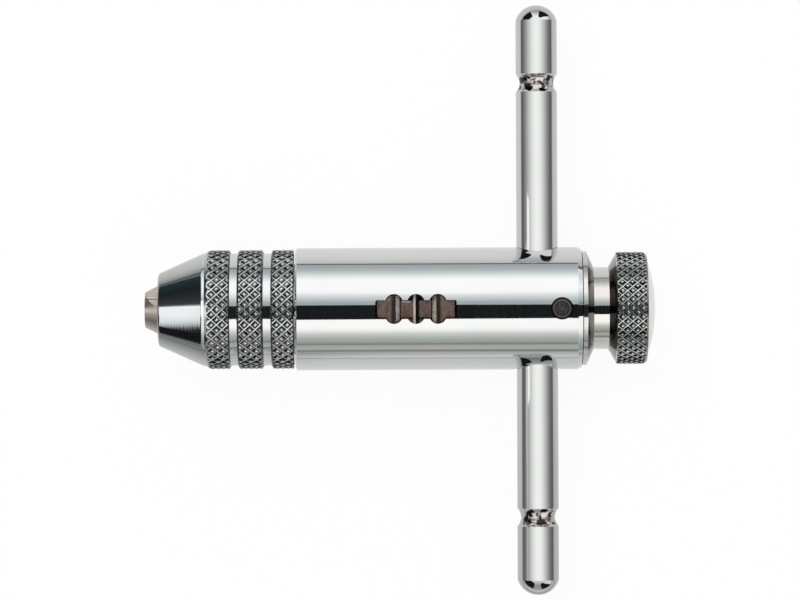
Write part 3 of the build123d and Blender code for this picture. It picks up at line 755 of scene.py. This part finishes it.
def put_together(name, body, finishes, *shells):
    """One mesh from several shells, as a piece that rides on a body.

    Each shell comes with the number of its first finish."""
    whole = bpy.data.meshes.new(name)
    gathered = bmesh.new()
    for number, shell in shells:
        for face in shell.faces:
            face.material_index += number
        part_mesh = bpy.data.meshes.new(name + "_part")
        shell.to_mesh(part_mesh)
        shell.free()
        gathered.from_mesh(part_mesh)
        bpy.data.meshes.remove(part_mesh)
    gathered.to_mesh(whole)
    gathered.free()
    # A solid's own normals no longer fit once its points are merged or moved.
    solid_normals = whole.attributes.get("custom_normal")
    if solid_normals:
        whole.attributes.remove(solid_normals)
    for finish in finishes:
        whole.materials.append(finish)
    whole.shade_smooth()
    whole.set_sharp_from_angle(angle=sharp_angle)
    piece = bpy.data.objects.new(name, whole)
    bpy.context.scene.collection.objects.link(piece)
    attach(piece, body)
    return piece


nose_shells = [(0, turned_shell(nose_outline, nose_sides))]
for front, rear, slopes, shaded_ends in knurl_bands:
    nose_shells.append((1, knurled_ring(
        front, rear, slopes, shaded_ends, drop=0.5, crest=knurl_crest, depth=knurl_depth, core=9.1,
        cells=36, cell_length=1.8, rows=4, finish=nose_knurl)))
knurled_nose = put_together(
    "knurled_nose", "nose", (nose_chrome, nose_knurl, knurl_end_shade), *nose_shells)
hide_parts("chuck_nose")


# Jaws: two halves of one hardened, coned bar, split along the tool axis and ground
# flat on the sides. They are left bare, and the grinding and heat leave them warm.
split_glint = (2.02, 2.22)
split_shade = (1.72, 1.84)
jaw_steel = turned_metal(
    "jaw_steel", (0.93, 0.82, 0.74), (0.80, 0.67, 0.58), (0.27, 0.38), 0.35 * mm, 2 * micron,
    patch=2.0)
tree = jaw_steel.node_tree
y = about_axis(tree)[1]
# A painted glint along one side of the split, and painted shade along the other.
paint(jaw_steel, between(tree, y, *split_glint, soft=0.05), (1.0, 0.97, 0.94))
paint(jaw_steel, between(tree, y, *split_shade, soft=0.05), (0.30, 0.25, 0.22))
dress(jaw_steel, "jaw_a", "jaw_b")


# Sliding bar: the tommy bar, a chromed rod with rounded ends. A groove near each end
# catches the ball when the bar is slid right over, and the chrome is stained there.
bar_middle = 1.37
groove_from_middle = 36.2
stain_reach = 1.1
blot_scale = 900.0
bar_chrome = turned_metal(
    "bar_chrome", (0.64, 0.645, 0.64), (0.62, 0.625, 0.62), (0.03, 0.06), 1.2 * mm, 0.5 * micron)
tree = bar_chrome.node_tree
y = about_axis(tree)[1]
from_bar_middle = reckon(tree, "ABSOLUTE", reckon(tree, "SUBTRACT", y, bar_middle * mm))
from_groove = reckon(tree, "SUBTRACT", from_bar_middle, groove_from_middle * mm)
stained = between(tree, from_groove, -stain_reach, stain_reach, soft=0.3)
blots = spread(tree, noise(tree, blot_scale), 0.50, 0.56, 0.0, 1.0)
paint(bar_chrome, reckon(tree, "MULTIPLY", stained, 0.7), (0.60, 0.52, 0.50))
paint(bar_chrome, reckon(tree, "MULTIPLY", stained, blots), (0.05, 0.035, 0.035))
dress(bar_chrome, "sliding_bar")


# Rear bush: pressed into the barrel's rear end as the bearing of the knob's stem. It
# is turned from bare steel with a bright collar, and its cone is painted dark brown as
# a painted reflection.
bush_cone_reflection = (73.56, 80.0)
bush_steel = turned_metal(
    "bush_steel", (0.72, 0.71, 0.70), (0.60, 0.58, 0.56), (0.06, 0.14), 0.3 * mm, 3 * micron,
    patch=3.0)
tree = bush_steel.node_tree
x = about_axis(tree)[0]
# Painted reflection: the cone is painted dark brown.
on_bush_cone = between(tree, x, *bush_cone_reflection, soft=0.04)
paint(bush_steel, reckon(tree, "MULTIPLY", on_bush_cone, 0.92), (0.09, 0.075, 0.07))
dress(bush_steel, "rear_bush")


# Selector knob: turned in one with its stem from bare steel, and knurled on the rim.
# It is pulled or pushed to choose the way of turning, and the bar goes through it.
knob_cone_shade = (77.2, 78.3)
knob_dome = (83.4, 86.0)
stem_steel = turned_metal(
    "stem_steel", (0.76, 0.735, 0.71), (0.67, 0.64, 0.61), (0.03, 0.08), 0.18 * mm, 3 * micron,
    patch=4.0)
tree = stem_steel.node_tree
x = about_axis(tree)[0]
# Painted shade: the knob's front cone is painted dark.
on_knob_cone = between(tree, x, *knob_cone_shade, soft=0.06)
paint(stem_steel, reckon(tree, "MULTIPLY", on_knob_cone, 0.8), (0.13, 0.115, 0.105))
paint(stem_steel, between(tree, x, *knob_dome, soft=0.1), (0.86, 0.83, 0.79))
dress(stem_steel, "selector_knob")

knob_band = (78.32, 83.42)
knob_crest = 9.38
knob_knurl_foot = 8.9
knob_knurl = knurled_metal(
    "knob_knurl", (0.68, 0.69, 0.68), (0.52, 0.53, 0.52), (0.03, 0.032, 0.032),
    knob_crest, knurl_depth)


def knob_with_trough(front, rear):
    """A merged copy of the knob, turned down to the knurl's foot between two places."""
    knob = bmesh.new()
    knob.from_mesh(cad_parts["selector_knob"].data)
    bmesh.ops.remove_doubles(knob, verts=knob.verts[:], dist=0.1 * micron)
    for place in (front, rear):
        cut_across(knob, place * mm, 1, 0.01 * micron, False)
    for vertex in knob.verts:
        if front * mm - micron < vertex.co.x < rear * mm + micron:
            draw_in(vertex, knob_knurl_foot * mm)
    return knob


knob_rim = knurled_ring(
    *knob_band, slopes=(0.28, 0.42), shaded_ends=(False, False), drop=knob_crest - knob_knurl_foot,
    crest=knob_crest, depth=knurl_depth, core=8.6, cells=39, cell_length=1.675, rows=4,
    finish=knob_knurl)
knurled_knob = put_together(
    "knurled_knob", "selector", (stem_steel, knob_knurl),
    (0, knob_with_trough(*knob_band)), (1, knob_rim))
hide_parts("selector_knob")


# Pawl and its pin: a hardened bar that fills the window, blackened brown. It rocks on
# the pin, a bright pressed roller, so that one of its feet drops into its ratchet ring.
window_middle = 45.1
recess_rim_shade = (3.5, 3.9)
recess_foot_shade = (2.53, 2.65)
highlight_slope = (2.78, 3.28)
highlight_edge_along = (42.85, 44.15)
highlight_edge_aside = (1.08, 1.22)
speck_scale = 4200.0
lit_side_end = (45.0, 45.06)
pin_shade = (45.04, 46.0)
shade_black = (0.06, 0.045, 0.04)
pawl_brown = turned_metal(
    "pawl_brown", (0.62, 0.44, 0.36), (0.28, 0.19, 0.155), (0.30, 0.46), 0.5 * mm, 4 * micron,
    patch=0.9, wear=0.8)
tree = pawl_brown.node_tree
x, y = about_axis(tree)[:2]
from_window = reckon(tree, "ABSOLUTE", reckon(tree, "SUBTRACT", x, window_middle * mm))
# Painted shade: dark brown round the recess's rim, and black along its foot.
paint(pawl_brown, between(tree, from_window, *recess_rim_shade, soft=0.35), (0.10, 0.075, 0.065))
paint(pawl_brown, between(tree, from_window, *recess_foot_shade, soft=0.05), shade_black)
# Painted highlight, broken into specks: pale on the recess's slopes and along a stretch of the
# pawl's edge, where the metal is made less metallic too.
on_edge = reckon(
    tree, "MULTIPLY", between(tree, x, *highlight_edge_along, soft=0.05),
    between(tree, y, *highlight_edge_aside, soft=0.04))
on_slope = between(tree, from_window, *highlight_slope, soft=0.06)
specks = spread(tree, noise(tree, speck_scale), 0.38, 0.52, 0.35, 1.0)
painted_highlight = reckon(tree, "MULTIPLY", reckon(tree, "MAXIMUM", on_slope, on_edge), specks)
paint(pawl_brown, painted_highlight, (0.72, 0.63, 0.60))
plug_in(tree, tree.nodes["Principled BSDF"].inputs["Metallic"],
        reckon(tree, "SUBTRACT", 1.0, painted_highlight))
pin_bright = turned_metal(
    "pin_bright", (0.80, 0.71, 0.65), (0.55, 0.47, 0.42), (0.2, 0.34), 0.3 * mm, 3 * micron,
    patch=0.8)
tree = pin_bright.node_tree
x = about_axis(tree)[0]
# Painted shade on the pin's rear half; its front half is less metallic so that it shows lit.
paint(pin_bright, between(tree, x, *pin_shade, soft=0.05), shade_black)
plug_in(tree, tree.nodes["Principled BSDF"].inputs["Metallic"],
        spread(tree, x, lit_side_end[0] * mm, lit_side_end[1] * mm, 0.3, 1.0))
dress(pawl_brown, "pawl")
dress(pin_bright, "pawl_pin")


# Ball catch of the bar: a steel ball and a coil spring, held by a dark plug that is
# staked into the barrel. The plug has a turned ring and a centre mark, and its rim is
# painted black as shade in the gap round it.
plug_middle = 69.17
plug_marks_and_shade = (
    (0.0, 0.22, (0.40, 0.37, 0.36)),
    (1.08, 1.16, (0.10, 0.085, 0.08)),
    (1.28, 1.38, (0.44, 0.41, 0.39)),
    (1.64, 2.0, (0.01, 0.01, 0.01)),
)
plug_steel = turned_metal(
    "plug_steel", (0.29, 0.25, 0.235), (0.13, 0.11, 0.105), (0.26, 0.40), 0.3 * mm, 4 * micron,
    patch=0.8)
ball_steel = turned_metal(
    "ball_steel", (0.62, 0.62, 0.62), (0.56, 0.56, 0.56), (0.06, 0.12), 0.5 * mm, 1 * micron)
spring_wire = turned_metal(
    "spring_wire", (0.36, 0.34, 0.32), (0.26, 0.24, 0.23), (0.22, 0.36), 0.2 * mm, 2 * micron,
    patch=1.0)
tree = plug_steel.node_tree
x, y = about_axis(tree)[:2]
from_plug = distance(tree, reckon(tree, "SUBTRACT", x, plug_middle * mm), y)
# The last of the plug's marks is painted shade, black at its rim.
for start, end, colour in plug_marks_and_shade:
    paint(plug_steel, between(tree, from_plug, start, end, soft=0.06), colour)
dress(plug_steel, "detent_plug")
dress(ball_steel, "detent_ball")
dress(spring_wire, "detent_spring", "jaw_spring", "spindle_ring", "nose_stop_ring", "shank_clip")


# Works inside the barrel: the spindle, the two ratchet rings on its shank, the spacer
# and washer, and the fork that the knob slides to rock the pawl. Bare and oiled.
works_steel = turned_metal(
    "works_steel", (0.54, 0.53, 0.52), (0.44, 0.43, 0.42), (0.18, 0.30), 0.3 * mm, 4 * micron,
    patch=3.0)
ratchet_steel = turned_metal(
    "ratchet_steel", (0.34, 0.31, 0.29), (0.25, 0.22, 0.205), (0.28, 0.42), 0.3 * mm, 3 * micron,
    patch=1.5)
dress(works_steel, "spindle", "ring_spacer", "thrust_washer", "fork_pin", "shift_fork")
dress(ratchet_steel, "front_ratchet_ring", "rear_ratchet_ring")
